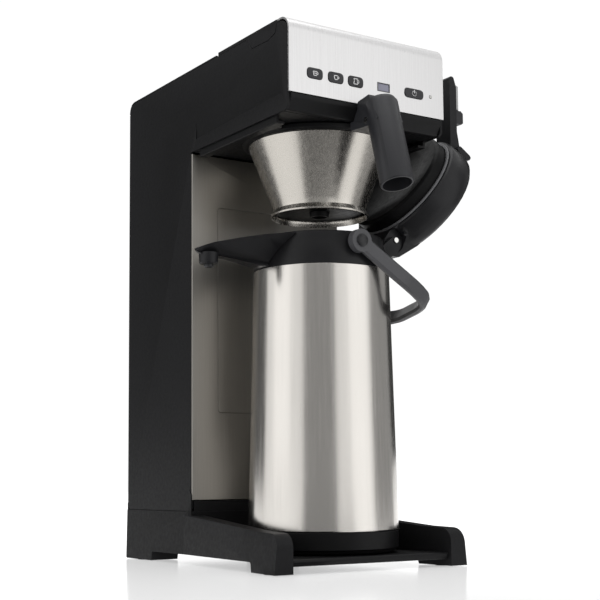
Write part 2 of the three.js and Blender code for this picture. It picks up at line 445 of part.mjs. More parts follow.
// Handle: a tube that hangs in front of the head, open at its lower end, on a neck from the rim.
const lean = THREE.MathUtils.degToRad(GRIP_LEAN);
const gripTop = FACE - GRIP_FRONT - BASKET_Y;
const hang = (geometry) => geometry.rotateX(-lean)
  .translate(0, gripTop - GRIP_LENGTH * Math.sin(lean), RIM_TOP + GRIP_RISE - GRIP_LENGTH * Math.cos(lean));
const gripTube = hang(turned([[0, 0], [GRIP_RADIUS - 0.8, 0], [GRIP_RADIUS, 1], [GRIP_RADIUS, GRIP_LENGTH - 6],
  [GRIP_RADIUS - 2, GRIP_LENGTH - 2], [GRIP_RADIUS - 6, GRIP_LENGTH], [0, GRIP_LENGTH]], 32));
const gripBore = hang(turned([[0, -2], [GRIP_RADIUS - GRIP_WALL, -2], [GRIP_RADIUS - GRIP_WALL - 1, GRIP_LENGTH - 34],
  [0, GRIP_LENGTH - 30]], 24));
const neckSide = prismX([[-RIM_RADIUS + 12, CONE_TOP - 1.4], [-RIM_RADIUS + 12, RIM_TOP], [gripTop + 24.2, RIM_TOP],
  [gripTop + 17.1, RIM_TOP + 11.4], [gripTop + 16.6, RIM_TOP + 18.4, 2], [gripTop - 2, RIM_TOP + 21.4],
  [gripTop - 16, RIM_TOP - 5.6], [gripTop - 2, RIM_TOP - 10.1, 4]], -NECK, NECK);
const SCREW_AT = [gripTop + 4, RIM_TOP - 3.6];
add(basket, 'filter_handle', cut(join(gripTube, neckSide), gripBore, rod(RIM_RADIUS + GAP, CONE_TOP - 13, RIM_TOP + 10, 48),
  rodX(SCREW + GAP, -NECK - 1, -NECK + 3.4, SCREW_AT[0], SCREW_AT[1], 16)), BLACK());
add(basket, 'handle_screw', rodX(SCREW, -NECK + 0.6, -NECK + 3.1, SCREW_AT[0], SCREW_AT[1], 16), BRIGHT());

// ---------------------------------------------------------------- flask
const flask = new THREE.Group();
flask.position.set(0, FLASK_Y, 0);
machine.add(flask);
const shellRadius = (z) => lerp(FLASK_RADIUS_LOW, FLASK_RADIUS_HIGH, (z - FLASK_FOOT) / (FLASK_SHOULDER - FLASK_FOOT));
add(flask, 'flask_foot', turned([[0, PLATE_TOP + GAP], [70, PLATE_TOP + GAP], [74, PLATE_TOP + 2], [75.5, PLATE_TOP + 4.5],
  [FLASK_RADIUS_LOW - 0.6, PLATE_TOP + 5.5], [FLASK_RADIUS_LOW - 0.3, FLASK_FOOT - 1], [FLASK_RADIUS_LOW - 1, FLASK_FOOT - GAP],
  [0, FLASK_FOOT - GAP]], 48), DARK());
add(flask, 'flask_shell', turned([[0, FLASK_FOOT], [FLASK_RADIUS_LOW - 0.6, FLASK_FOOT], [FLASK_RADIUS_LOW, FLASK_FOOT + 1],
  [FLASK_RADIUS_HIGH, FLASK_SHOULDER], [FLASK_RADIUS_HIGH - FLASK_WALL, FLASK_SHOULDER],
  [FLASK_RADIUS_LOW - FLASK_WALL, FLASK_FOOT + 3], [0, FLASK_FOOT + 3]], 48), BRIGHT());
const LINER = 8;                         // vacuum space between the shell and the liner
const NECK_Z = FLASK_SHOULDER + 4;
add(flask, 'flask_liner', turned([[0, FLASK_FOOT + 14], [shellRadius(60) - LINER - 8, FLASK_FOOT + 14],
  [shellRadius(60) - LINER, FLASK_FOOT + 22], [FLASK_RADIUS_HIGH - LINER, FLASK_SHOULDER - 22],
  [MOUTH - GAP, FLASK_SHOULDER - 2], [MOUTH - GAP, CUP_FLOOR - 0.5], [MOUTH - 1.6, CUP_FLOOR - 0.5],
  [MOUTH - 1.6, FLASK_SHOULDER - 2.6], [FLASK_RADIUS_HIGH - LINER - 1.4, FLASK_SHOULDER - 23],
  [shellRadius(60) - LINER - 1.4, FLASK_FOOT + 23], [shellRadius(60) - LINER - 8.5, FLASK_FOOT + 15.6],
  [0, FLASK_FOOT + 15.6]], 36), BRIGHT());
const COLLAR = [[MOUTH, NECK_Z], [FLASK_RADIUS_HIGH - 4, NECK_Z], [FLASK_RADIUS_HIGH - 4, FLASK_SHOULDER + GAP],
  [FLASK_RADIUS_HIGH - 0.4, FLASK_SHOULDER + GAP], [FLASK_RADIUS_HIGH - 0.8, FLASK_SHOULDER + 8],
  [COLLAR_RADIUS_TOP + 2.6, FLASK_SHOULDER + 22], [COLLAR_RADIUS_TOP + 0.4, COLLAR_TOP - 5],
  [COLLAR_RADIUS_TOP, COLLAR_TOP - 1], [COLLAR_RADIUS_TOP - 1, COLLAR_TOP], [CUP, COLLAR_TOP],
  [CUP, CUP_FLOOR], [MOUTH, CUP_FLOOR]];
const PIVOT_REACH = BAIL_HALF - BAIL_THICK / 2 - GAP;
const pivotBoss = (s) => rodY(9, s > 0 ? 60 : -PIVOT_REACH, s > 0 ? PIVOT_REACH : -60, BAIL_X, BAIL_PIVOT, 20);
const AXLE = 4;
const axle = (s) => rodY(AXLE, s > 0 ? 66 : -PIVOT_REACH - BAIL_THICK - 2 * GAP, s > 0 ? PIVOT_REACH + BAIL_THICK + 2 * GAP : -66,
  BAIL_X, BAIL_PIVOT, 16);
// Hinge bracket of the lid: two ears beside the lid's knuckle.
const EAR = [26, 32];
const ear = (s) => prismY([[56, COLLAR_TOP - 24], [HINGE_X + 3, HINGE_Z - 13, 3], [HINGE_X + 6, HINGE_Z, 5],
  [HINGE_X, HINGE_Z + 6, 5], [HINGE_X - 8, HINGE_Z, 3], [56, COLLAR_TOP - 6]],
s > 0 ? EAR[0] : -EAR[1], s > 0 ? EAR[1] : -EAR[0], 3);
const HINGE_PIN = 3;
add(flask, 'flask_collar', cut(
  join(ring(COLLAR, 48), pivotBoss(-1), pivotBoss(1), axle(-1), axle(1), ear(-1), ear(1)),
  rod(CUP, CUP_FLOOR, COLLAR_TOP + 20, 48),
  rodY(HINGE_PIN + GAP, -60, 60, HINGE_X, HINGE_Z, 16),
  rodY(13, -EAR[0], EAR[0], HINGE_X, HINGE_Z, 24)), BLACK());
add(flask, 'lid_hinge_pin', rodY(HINGE_PIN, -EAR[1] - 1.5, EAR[1] + 1.5, HINGE_X, HINGE_Z, 16), BRIGHT());
// Spout: a hollow beak towards -X that ends in a round cup over a nozzle.
const spoutHalf = (x) => lerp(10.5, 40, THREE.MathUtils.smoothstep(x, -SPOUT_TIP - 10, -34)) *
  Math.sqrt(Math.max(0.08, 1 - (Math.max(0, -x - SPOUT_REACH) / (SPOUT_TIP - SPOUT_REACH)) ** 2));
const beakTop = [[-34, 341], [-62, 339.7], [-87, 336.4], [-112, 331.8], [-137, 326], [-143.6, 323.8],
  [-SPOUT_TIP + 2.5, 321.6], [-SPOUT_TIP, 320]];
const beakLow = [[-SPOUT_TIP, 317.4], [-SPOUT_TIP + 6, 314.8], [-124, 313.6], [-108, 312], [-92, 309.4], [-80, 307.6],
  [-34, 307.6]];
// The beak narrows towards the tip, and its flanks lean in from the lip to a narrow keel.
const beak = warp(prismY([...beakTop, ...beakLow], -1, 1, 2), (v) => {
  const lip = beakTop.some(([x, z]) => Math.abs(v.x - x) < 0.01 && Math.abs(v.z - z) < 0.01);
  v.y *= spoutHalf(v.x) * (lip ? 1 : 0.3);
});
const cup = turned([[0, 305.6], [SPOUT_CUP - 0.5, 305.6], [SPOUT_CUP, 306.6], [SPOUT_CUP + 0.4, 317], [0, 318]], 24)
  .translate(-SPOUT_REACH, 0, 0);
const clearance = turned([[0, 290], [FLASK_RADIUS_HIGH + GAP, 290], ...COLLAR.slice(3, 8).map(([r, z]) => [r + GAP + 0.4, z]),
  [COLLAR_RADIUS_TOP + GAP, 380], [0, 380]], 48);
add(flask, 'spout', cut(join(beak, cup), clearance, rod(5.2, 298, 311, 16).translate(-SPOUT_REACH, 0, 0)), BLACK());
add(flask, 'spout_nozzle', cut(turned([[0, 302], [4, 302], [4.8, 303], [4.8, 310.6], [0, 310.6]], 16),
  rod(2.4, 300, 308, 12)).translate(-SPOUT_REACH, 0, 0), GREY());
add(flask, 'draw_tube', cut(rod(4, 66, CUP_FLOOR - 6, 12), rod(3, 60, CUP_FLOOR - 10, 12)).translate(-30, 0, 0), BRIGHT());

// Bail: two arms on the collar's axles, joined by a bowed grip.
const bail = new THREE.Group();
bail.position.set(BAIL_X, 0, BAIL_PIVOT);
bail.rotation.y = THREE.MathUtils.degToRad(BAIL_LOWERED);
flask.add(bail);
const bailPath = new THREE.CatmullRomCurve3([
  [4, -BAIL_HALF], [46, -BAIL_HALF], [89, -BAIL_HALF + 0.4], [102, -BAIL_HALF + 5], [108, -BAIL_HALF + 17], [114, -34],
  [BAIL_REACH, -11], [BAIL_REACH, 11], [114, 34], [108, BAIL_HALF - 17], [102, BAIL_HALF - 5], [89, BAIL_HALF - 0.4],
  [46, BAIL_HALF], [4, BAIL_HALF]].map(([x, y]) => new THREE.Vector3(x, y, 0)), false, 'centripetal');
const bailSection = outline([[-BAIL_TALL / 2, -BAIL_THICK / 2, 2.5], [BAIL_TALL / 2, -BAIL_THICK / 2, 2.5],
  [BAIL_TALL / 2, BAIL_THICK / 2, 2.5], [-BAIL_TALL / 2, BAIL_THICK / 2, 2.5]], 1);
const bow = new THREE.ExtrudeGeometry(new THREE.Shape(bailSection), { steps: 40, extrudePath: bailPath, bevelEnabled: false });
const eye = (s) => rodY(BAIL_EYE, s * BAIL_HALF - BAIL_THICK / 2, s * BAIL_HALF + BAIL_THICK / 2, 0, 0, 24);
add(bail, 'bail_handle', cut(join(bow, eye(-1), eye(1)), rodY(AXLE + GAP, -BAIL_HALF - 9, -BAIL_HALF + 9, 0, 0, 16),
  rodY(AXLE + GAP, BAIL_HALF - 9, BAIL_HALF + 9, 0, 0, 16)), BLACK());
['front', 'rear'].forEach((where, i) => {
  const s = i ? 1 : -1;
  const capAt = PIVOT_REACH + BAIL_THICK + 3 * GAP;
  add(flask, `bail_cap_${where}`, turned([[0, 0], [6.5, 0], [6.5, 1], [5.2, 2], [0, 2.4]], 20)
    .rotateX(s > 0 ? -Math.PI / 2 : Math.PI / 2).translate(BAIL_X, s * capAt, BAIL_PIVOT), GREY());
});

// ---------------------------------------------------------------- flask lid, standing open
// Modelled closed in the hinge's frame: the lid reaches from the hinge towards -X.
const lid = new THREE.Group();
lid.position.set(HINGE_X, 0, HINGE_Z);
lid.rotation.y = THREE.MathUtils.degToRad(LID_OPEN);
flask.add(lid);
const LID_AT = -HINGE_X;                             // the lid's centre when it is closed
const lidDisc = turned([[0, LID_RIM], [LID_RADIUS - 4, LID_RIM], [LID_RADIUS - 2.5, LID_RIM + 1.5],
  [LID_RADIUS - 1, LID_RIM + 12], [LID_RADIUS, LID_TOP - 14], [LID_RADIUS - 1.6, LID_TOP - 6], [LID_RADIUS - 5, LID_TOP - 2],
  [LID_RADIUS - 12, LID_TOP], [0, LID_TOP + 2]], 44).translate(LID_AT, 0, 0);
const heel = warp(prismY([[-40, LID_RIM + 2], [-8, LID_RIM - 2], [8, -9, 4], [16, 4, 6], [9, 17, 6], [-14, LID_TOP - 2, 8],
  [-40, LID_TOP - 2]], -EAR[0] + 1, EAR[0] - 1, 3), (v) => { v.y *= 1 + 0.03 * Math.max(0, -v.x - 6); });
const CHANNEL = { half: 15, low: LID_TOP - 14, rear: LID_AT + 34 };    // in the lid's top, for the pump lever
const earRoom = (s) => rodY(14, s > 0 ? EAR[0] - 1 : -EAR[1] - 2, s > 0 ? EAR[1] + 2 : -EAR[0] + 1, 0, 0, 20);
add(lid, 'lid_shell', cut(join(lidDisc, heel),
  rodY(HINGE_PIN + GAP, -60, 60, 0, 0, 16),
  rod(PLUG_RADIUS + GAP, LID_RIM - 2, LID_RIM + 6, 44).translate(LID_AT, 0, 0),
  rod(PLUG_RADIUS + 4 + GAP, LID_RIM - 20, LID_RIM, 44).translate(LID_AT, 0, 0), earRoom(-1), earRoom(1),
  block(LID_AT - LID_RADIUS - 10, CHANNEL.rear, -CHANNEL.half, CHANNEL.half, CHANNEL.low, LID_TOP + 20)), BLACK());
add(lid, 'lid_plug', turned([[0, PLUG_LOW + 2], [38, PLUG_LOW + 2], [42, PLUG_LOW], [PLUG_RADIUS - 3, PLUG_LOW],
  [PLUG_RADIUS, PLUG_LOW + 2.5], [PLUG_RADIUS, LID_RIM + 5.7], [0, LID_RIM + 5.7]], 44)
  .translate(LID_AT, 0, 0), GREY());
add(lid, 'lid_seal', ring([[PLUG_RADIUS + 0.6, LID_RIM - 2.2], [PLUG_RADIUS + 3.4, LID_RIM - 2.2],
  [PLUG_RADIUS + 4, LID_RIM - GAP], [PLUG_RADIUS + 0.6, LID_RIM - GAP]], 40)
  .translate(LID_AT, 0, 0), paint(0x8f9092, 0.7));

// Pump lever: lies in the lid's channel; past the lid's front it widens to a nose, then a tongue slopes down from it.
const lever = new THREE.Group();
const LEVER_PIVOT = [LID_AT + 20, LID_TOP - 6];
const LEVER_PIN = 2;
lever.position.set(LEVER_PIVOT[0], 0, LEVER_PIVOT[1]);
lid.add(lever);
const LID_EDGE = HINGE_X + LID_RADIUS;
const NOSE = LID_EDGE + 10.5;                        // hinge to the front face of the lever's nose
const NOSE_BACK = LID_EDGE + 3.1;
const NOSE_HALF = 20;
const NOSE_TOP = LID_TOP + 12;
const TONGUE_HALF = 12.5;
const LEAN = THREE.MathUtils.degToRad(LID_OPEN - 90);
// Lever outline points: d away from the lid's hinge, t above it with the lid closed, and a corner radius.
const at = (d, t, r = 0) => [-d - LEVER_PIVOT[0], t - LEVER_PIVOT[1], r];
// On the tongue: s along it, t across it towards the outside.
const tongueAt = (s, t, r = 0) =>
  at(NOSE + 4 + s * Math.cos(LEAN) + t * Math.sin(LEAN), 6 - s * Math.sin(LEAN) + t * Math.cos(LEAN), r);
const ARM_REAR = -LEVER_PIVOT[0] - 7;
const leverSide = [at(ARM_REAR, LID_TOP - 9.5, 3), at(ARM_REAR, LID_TOP - 1, 4), at(LID_EDGE - 28.5, LID_TOP + 1),
  at(NOSE - 14, NOSE_TOP - 2, 8), at(NOSE, NOSE_TOP, 4),
  at(NOSE + 2, 24), tongueAt(8, 10), tongueAt(60, 10, 6), tongueAt(72, 6, 3), tongueAt(72, 0, 3), tongueAt(-6, 0),
  at(NOSE_BACK, 12, 1), at(NOSE_BACK, LID_TOP - 8), at(ARM_REAR + 17, LID_TOP - 8), at(ARM_REAR + 11, LID_TOP - 9.5)];
const noseSide = [at(NOSE_BACK + 0.2, 16, 3), at(NOSE_BACK + 0.2, NOSE_TOP - 4, 4), at(NOSE - 0.3, NOSE_TOP - 0.3, 3),
  at(NOSE - 0.3, 18, 3)];
add(lever, 'pump_lever', cut(join(prismY(leverSide, -TONGUE_HALF, TONGUE_HALF, 3), prismY(noseSide, -NOSE_HALF, NOSE_HALF, 2)),
  rodY(LEVER_PIN + GAP, -30, 30, 0, 0, 16)), BLACK());
const strip = (s0, s1, t0, t1, half) =>
  prismY([tongueAt(s0, t0), tongueAt(s1, t0), tongueAt(s1 - 3, t1), tongueAt(s0, t1)], -half, half);
add(lever, 'lever_trim', strip(36, 67, 10.4, 18.5, 6), PALE());
add(lever, 'lever_latch', join(strip(18, 35, 10.4, 19, 11), strip(20, 34.6, 18.6, 22.5, 9)), GREY());
add(lid, 'lever_pin', rodY(LEVER_PIN, -CHANNEL.half + GAP, CHANNEL.half - GAP, LEVER_PIVOT[0], LEVER_PIVOT[1], 16), BRIGHT());

// ---------------------------------------------------------------- origin: middle of the footprint, on the table
const model = new THREE.Group();
model.add(machine);
model.updateMatrixWorld(true);
const bounds = new THREE.Box3().setFromObject(machine, true);
machine.position.set(-(bounds.min.x + bounds.max.x) / 2, -(bounds.min.y + bounds.max.y) / 2, -bounds.min.z);
model.updateMatrixWorld(true);

export default model;
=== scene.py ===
"""Looks of the drip coffee maker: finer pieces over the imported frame, materials, camera and studio."""
import json
import math

import bmesh
import bpy
from mathutils import Matrix, Vector


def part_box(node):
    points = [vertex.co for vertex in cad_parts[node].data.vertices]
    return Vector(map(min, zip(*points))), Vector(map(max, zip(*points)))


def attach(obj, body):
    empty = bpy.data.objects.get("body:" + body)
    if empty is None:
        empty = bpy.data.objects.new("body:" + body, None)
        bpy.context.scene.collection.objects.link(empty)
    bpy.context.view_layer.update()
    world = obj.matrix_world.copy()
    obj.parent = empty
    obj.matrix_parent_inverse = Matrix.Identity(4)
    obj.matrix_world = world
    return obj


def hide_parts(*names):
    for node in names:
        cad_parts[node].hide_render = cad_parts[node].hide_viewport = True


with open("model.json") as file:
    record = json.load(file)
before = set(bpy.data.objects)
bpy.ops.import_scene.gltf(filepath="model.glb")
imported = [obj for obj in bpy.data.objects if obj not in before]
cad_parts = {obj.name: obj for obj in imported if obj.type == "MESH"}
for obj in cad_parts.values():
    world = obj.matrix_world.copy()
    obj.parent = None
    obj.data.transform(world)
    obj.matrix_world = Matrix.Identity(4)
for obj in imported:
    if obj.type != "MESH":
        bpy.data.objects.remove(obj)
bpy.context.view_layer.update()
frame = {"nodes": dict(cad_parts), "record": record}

MM = 0.001
MERGE = 0.002 * MM               # corners of a CAD solid closer than this are one
ON_AXIS = 0.01 * MM              # nearer than this to a turned solid's axis is on it
SAME_TURN = 0.001                # radians
NODES = frame["nodes"]
BODY_OF = {node: body for body, nodes in frame["record"]["behaviour"]["bodies"].items() for node in nodes}
SLOT_OF = {part["node"]: part["material_slot"] for part in frame["record"]["subparts"]}


def middle(node):
    """Middle of a CAD node's box."""
    low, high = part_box(node)
    return (Vector(low) + Vector(high)) / 2


# ------------------------------------------------------------------ materials
class Shader:
    """A material's node tree, built one node at a time."""

    def __init__(self, name):
        self.material = bpy.data.materials.new(name)
        self.material.use_nodes = True
        self.tree = self.material.node_tree
        self.surface = self.tree.nodes["Principled BSDF"]
        self.place = self.node("ShaderNodeTexCoord").outputs["Object"]

    def node(self, kind, **settings):
        made = self.tree.nodes.new(kind)
        for key, value in settings.items():
            setattr(made, key, value)
        return made

    def link(self, source, socket):
        self.tree.links.new(source, socket)

    def stretched(self, scale):
        """Object coordinates times scale, for grain that runs one way."""
        mapping = self.node("ShaderNodeMapping", vector_type="POINT")
        mapping.inputs["Scale"].default_value = scale
        self.link(self.place, mapping.inputs["Vector"])
        return mapping.outputs["Vector"]

    def noise(self, scale, detail=2.0, vector=None, roughness=0.5):
        made = self.node("ShaderNodeTexNoise")
        made.inputs["Scale"].default_value = scale
        made.inputs["Detail"].default_value = detail
        made.inputs["Roughness"].default_value = roughness
        self.link(vector or self.place, made.inputs["Vector"])
        return made.outputs["Fac"]

    def span(self, value, low, high, to_low, to_high):
        """Value, which runs from low to high, moved to run from to_low to to_high."""
        made = self.node("ShaderNodeMapRange")
        limits = {"From Min": low, "From Max": high, "To Min": to_low, "To Max": to_high}
        for socket, number in limits.items():
            made.inputs[socket].default_value = number
        self.link(value, made.inputs["Value"])
        return made.outputs["Result"]

    def blend(self, factor, a, b):
        """Colour a where factor is 0 and b where it is 1; a and b are colours or sockets."""
        made = self.node("ShaderNodeMix", data_type="RGBA")
        self.link(factor, made.inputs[0])
        for socket, colour in ((made.inputs[6], a), (made.inputs[7], b)):
            if isinstance(colour, (tuple, list)):
                socket.default_value = (*colour, 1)
            else:
                self.link(colour, socket)
        return made.outputs[2]

    def bump(self, *layers):
        """Bump from (height, distance in metres, strength) layers, one over the other."""
        normal = None
        for height, distance, strength in layers:
            made = self.node("ShaderNodeBump")
            made.inputs["Distance"].default_value = distance
            made.inputs["Strength"].default_value = strength
            self.link(height, made.inputs["Height"])
            if normal:
                self.link(normal, made.inputs["Normal"])
            normal = made.outputs["Normal"]
        self.link(normal, self.surface.inputs["Normal"])

    def edges(self, low=0.515, high=0.56):
        """1 on outer edges, which the plastics pale partly for wear and partly as a painted highlight; 0
        elsewhere.
        """
        return self.span(self.node("ShaderNodeNewGeometry").outputs["Pointiness"], low, high, 0, 1)

    def set(self, **values):
        for key, value in values.items():
            self.surface.inputs[key.replace("_", " ").title().replace("Ior", "IOR")].default_value = value
        return self


def times(colour, factor):
    return tuple(min(1.0, channel * factor) for channel in colour)


def plastic(name, colour, rough=0.5, grain=1.0, specular=0.3, edge_wear_and_highlight=1.6):
    """Moulded plastic: a fine spark texture, faint flow marks, a dusting of scuffs and paler edges, partly
    wear and partly a painted highlight.
    """
    s = Shader(name)
    flow = s.noise(16, 3)
    body = s.blend(s.span(flow, 0.35, 0.65, 0, 1), times(colour, 0.92), times(colour, 1.1))
    # Paler outer edges: partly wear, partly a painted highlight on the rolled edges.
    body = s.blend(s.edges(), body, times(colour, edge_wear_and_highlight))
    s.link(body, s.surface.inputs["Base Color"])
    s.link(s.span(s.noise(240, 4), 0.3, 0.7, rough - 0.05, rough + 0.07), s.surface.inputs["Roughness"])
    s.bump((s.noise(2600, 2), 0.03 * MM * grain, 1.0), (s.noise(90, 2), 0.04 * MM, 1.0))
    s.set(specular_ior_level=specular)
    return s.material


def steel(name, colour, rough=0.26, along=(900, 900, 14), depth=1.0, tint=(0.9, 1.04)):
    """Ground stainless steel: long fine scratches one way, with soft clouding across the sheet."""
    s = Shader(name)
    scratch = s.noise(1.0, 5, s.stretched(along), 0.65)
    cloud = s.noise(9, 2)
    shade = s.blend(s.span(scratch, 0.3, 0.7, 0, 1), times(colour, tint[0]), times(colour, tint[1]))
    shade = s.blend(s.span(cloud, 0.35, 0.65, 0, 0.35), shade, times(colour, 0.93))
    s.link(shade, s.surface.inputs["Base Color"])
    s.link(s.span(scratch, 0.25, 0.75, rough - 0.05, rough + 0.08), s.surface.inputs["Roughness"])
    if depth:
        coarse = [value / 3 for value in along]
        s.bump((s.noise(1.0, 1, s.stretched(coarse)), 0.02 * MM, depth))
    s.set(metallic=1.0)
    return s.material


MATERIALS = {
    "housing_plastic": plastic("housing_plastic", (0.0065, 0.0065, 0.007), 0.5, 1.6, 0.12),
    "chassis_plastic": plastic("chassis_plastic", (0.004, 0.004, 0.0043), 0.42, 0.8, 0.14),
    "flask_plastic": plastic("flask_plastic", (0.0065, 0.0065, 0.0072), 0.33, 0.7, 0.2),
    "handle_plastic": plastic("handle_plastic", (0.013, 0.0132, 0.015), 0.4, 0.7, 0.26),
    "plug_plastic": plastic("plug_plastic", (0.003, 0.003, 0.0032), 0.45, 0.6, 0.1, 1.3),
    "bail_plastic": plastic("bail_plastic", (0.04, 0.04, 0.043), 0.38, 0.7, 0.35, 1.3),
    "grey_plastic": plastic("grey_plastic", (0.012, 0.012, 0.013), 0.34, 0.5, 0.28),
    "button_plastic": plastic("button_plastic", (0.015, 0.015, 0.0165), 0.36, 0.5, 0.3),
    "pale_plastic": plastic("pale_plastic", (0.3, 0.3, 0.3), 0.35, 0.5, 0.4, 1.1),
    "front_steel": steel("front_steel", (0.66, 0.655, 0.655), 0.3, (1100, 1100, 16), 0.5, (0.88, 1.04)),
    # The column's steel is the front's steel painted about half as bright: painted shade for the column
    # sitting under the head.
    "column_steel": steel("column_steel", (0.34, 0.325, 0.3), 0.42, (1000, 1000, 12), 0.6, (0.92, 1.05)),
    "flask_steel": steel("flask_steel", (0.66, 0.635, 0.6), 0.2, (420, 420, 10), 0.2, (0.95, 1.02)),
    "cone_steel": steel("cone_steel", (0.52, 0.495, 0.455), 0.24, (500, 500, 18), 0.0, (0.93, 1.03)),
    "bright_metal": steel("bright_metal", (0.75, 0.74, 0.72), 0.16, (900, 900, 900), 0.4),
    "rear_sheet": plastic("rear_sheet", (0.012, 0.012, 0.013), 0.45, 2.0, 0.2),
    "foot_rubber": plastic("foot_rubber", (0.008, 0.008, 0.008), 0.8, 3.0, 0.12, 1.2),
    "seal_rubber": plastic("seal_rubber", (0.11, 0.11, 0.115), 0.5, 1.0, 0.3, 1.1),
    "display_plastic": plastic("display_plastic", (0.2, 0.2, 0.25), 0.2, 0.2, 0.4, 1.0),
    "lamp_plastic": plastic("lamp_plastic", (0.4, 0.4, 0.38), 0.25, 0.2, 0.5, 1.0),
    "board": plastic("board", (0.03, 0.11, 0.05), 0.4, 0.4, 0.4),
    "print": plastic("print", (0.75, 0.75, 0.75), 0.5, 0.3, 0.3, 1.0),
}


def dress(piece, material):
    """Gives a piece one material."""
    piece.data.materials.clear()
    piece.data.materials.append(MATERIALS[material])


# ------------------------------------------------------------------ building pieces
def finish_piece(piece, body, material, *nodes):
    """Material and body for a piece, and the CAD nodes it stands for, which are hidden."""
    dress(piece, material)
    if nodes:
        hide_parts(*nodes)
    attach(piece, body)
    return piece


def new_object(name, mesh):
    piece = bpy.data.objects.new(name, mesh)
    bpy.context.scene.collection.objects.link(piece)
    return piece


def from_bmesh(name, bm, sharp=35):
    bmesh.ops.recalc_face_normals(bm, faces=bm.faces)
    mesh = bpy.data.meshes.new(name)
    bm.to_mesh(mesh)
    bm.free()
    mesh.shade_smooth()
    mesh.set_sharp_from_angle(angle=math.radians(sharp))
    return new_object(name, mesh)


def round_edges(piece, width, segments=2, angle=35):
    """Rolls the piece's edges over, as a mould or a press leaves them."""
    bevel = piece.modifiers.new("edges", "BEVEL")
    bevel.width = width
    bevel.segments = segments
    bevel.limit_method = "ANGLE"
    bevel.angle_limit = math.radians(angle)
    bevel.use_clamp_overlap = True
    bevel.miter_outer = "MITER_ARC"
    bevel.harden_normals = True
    return piece


def refined(node, width=0.6 * MM, segments=2, angle=35, sharp=35, material=None):
    """A copy of a CAD solid with its flat faces joined up and its edges rolled over."""
    bm = bmesh.new()
    bm.from_mesh(NODES[node].data)
    bmesh.ops.remove_doubles(bm, verts=bm.verts, dist=MERGE)
    bmesh.ops.dissolve_limit(bm, angle_limit=math.radians(0.6), verts=bm.verts, edges=bm.edges)
    piece = from_bmesh(f"{node}_skin", bm, sharp)
    if width:
        round_edges(piece, width, segments, angle)
    return finish_piece(piece, BODY_OF[node], material or SLOT_OF[node], node)


def turned(name, profile, centre, steps):
    """A surface of revolution round a vertical axis through centre; profile is a list of (r, z)."""
    bm = bmesh.new()
    turns = [2 * math.pi * k / steps for k in range(steps)]
    rings = [[bm.verts.new((r * math.cos(turn), r * math.sin(turn), z)) for turn in turns] if r > ON_AXIS
             else [bm.verts.new((0, 0, z))] for r, z in profile]
    if profile[0] == profile[-1]:
        for vert in rings[-1]:
            bm.verts.remove(vert)
        rings[-1] = rings[0]
    for low, high in zip(rings, rings[1:]):
        for k in range(steps):
            n = (k + 1) % steps
            corners = [low[k % len(low)], low[n % len(low)], high[n % len(high)], high[k % len(high)]]
            face = list(dict.fromkeys(corners))
            if len(face) > 2:
                bm.faces.new(face)
    bmesh.ops.transform(bm, matrix=Matrix.Translation(centre), verts=bm.verts)
    return from_bmesh(name, bm, 30)


def respun(node, centre, edge=0.25 * MM, steps=160):
    """A turned CAD solid round the upright axis through centre, with finer facets and rolled edges."""
    bm = bmesh.new()
    bm.from_mesh(NODES[node].data)
    bmesh.ops.remove_doubles(bm, verts=bm.verts, dist=MERGE)

    def polar(vert):
        across = Vector((vert.co.x - centre.x, vert.co.y - centre.y))
        return across.length, math.atan2(across.y, across.x)

    start = polar(max(bm.verts, key=lambda vert: polar(vert)[0]))[1]
    on_cut = {vert for vert in bm.verts
              if polar(vert)[0] < ON_AXIS or abs(polar(vert)[1] - start) < SAME_TURN}
    links = {vert: [edge.other_vert(vert) for edge in vert.link_edges if edge.other_vert(vert) in on_cut]
             for vert in on_cut}
    ends = [vert for vert in on_cut if polar(vert)[0] < ON_AXIS]
    here = min(ends or on_cut, key=lambda vert: vert.co.z)
    chain, seen = [here], {here}
    while True:
        onward = [vert for vert in links[here] if vert not in seen and not (here in ends and vert in ends)]
        if not onward:
            break
        here = max(onward, key=lambda vert: polar(vert)[0]) if len(chain) == 1 else onward[0]
        chain.append(here)
        seen.add(here)
    profile = [(polar(vert)[0], vert.co.z) for vert in chain]
    bm.free()
    if not ends:
        profile.append(profile[0])
    piece = turned(f"{node}_skin", profile, Vector((centre.x, centre.y, 0)), steps)
    round_edges(piece, edge, 2, 40)
    return finish_piece(piece, BODY_OF[node], SLOT_OF[node], node)


def stroked(name, lines, at, width=0.6 * MM, depth=0.18 * MM):
    """Thin raised print on a face that looks along -Y: lines of (x, z) points in mm round the point at."""
    bm = bmesh.new()
    for line in lines:
        points = [Vector((x, 0, z)) * ICON_SCALE * MM for x, z in line]
        for start, end in zip(points, points[1:]):
            reach = (end - start).normalized() * width / 2
            side = Vector((-reach.z, 0, reach.x))
            flat = [start - reach - side, end + reach - side, end + reach + side, start - reach + side]
            rear = [bm.verts.new(at + p) for p in flat]
            front = [bm.verts.new(at + p + Vector((0, -depth, 0))) for p in flat]
            bm.faces.new(rear)
            bm.faces.new(front)
            for k in range(4):
                bm.faces.new((rear[k], rear[(k + 1) % 4], front[(k + 1) % 4], front[k]))
    return from_bmesh(name, bm)


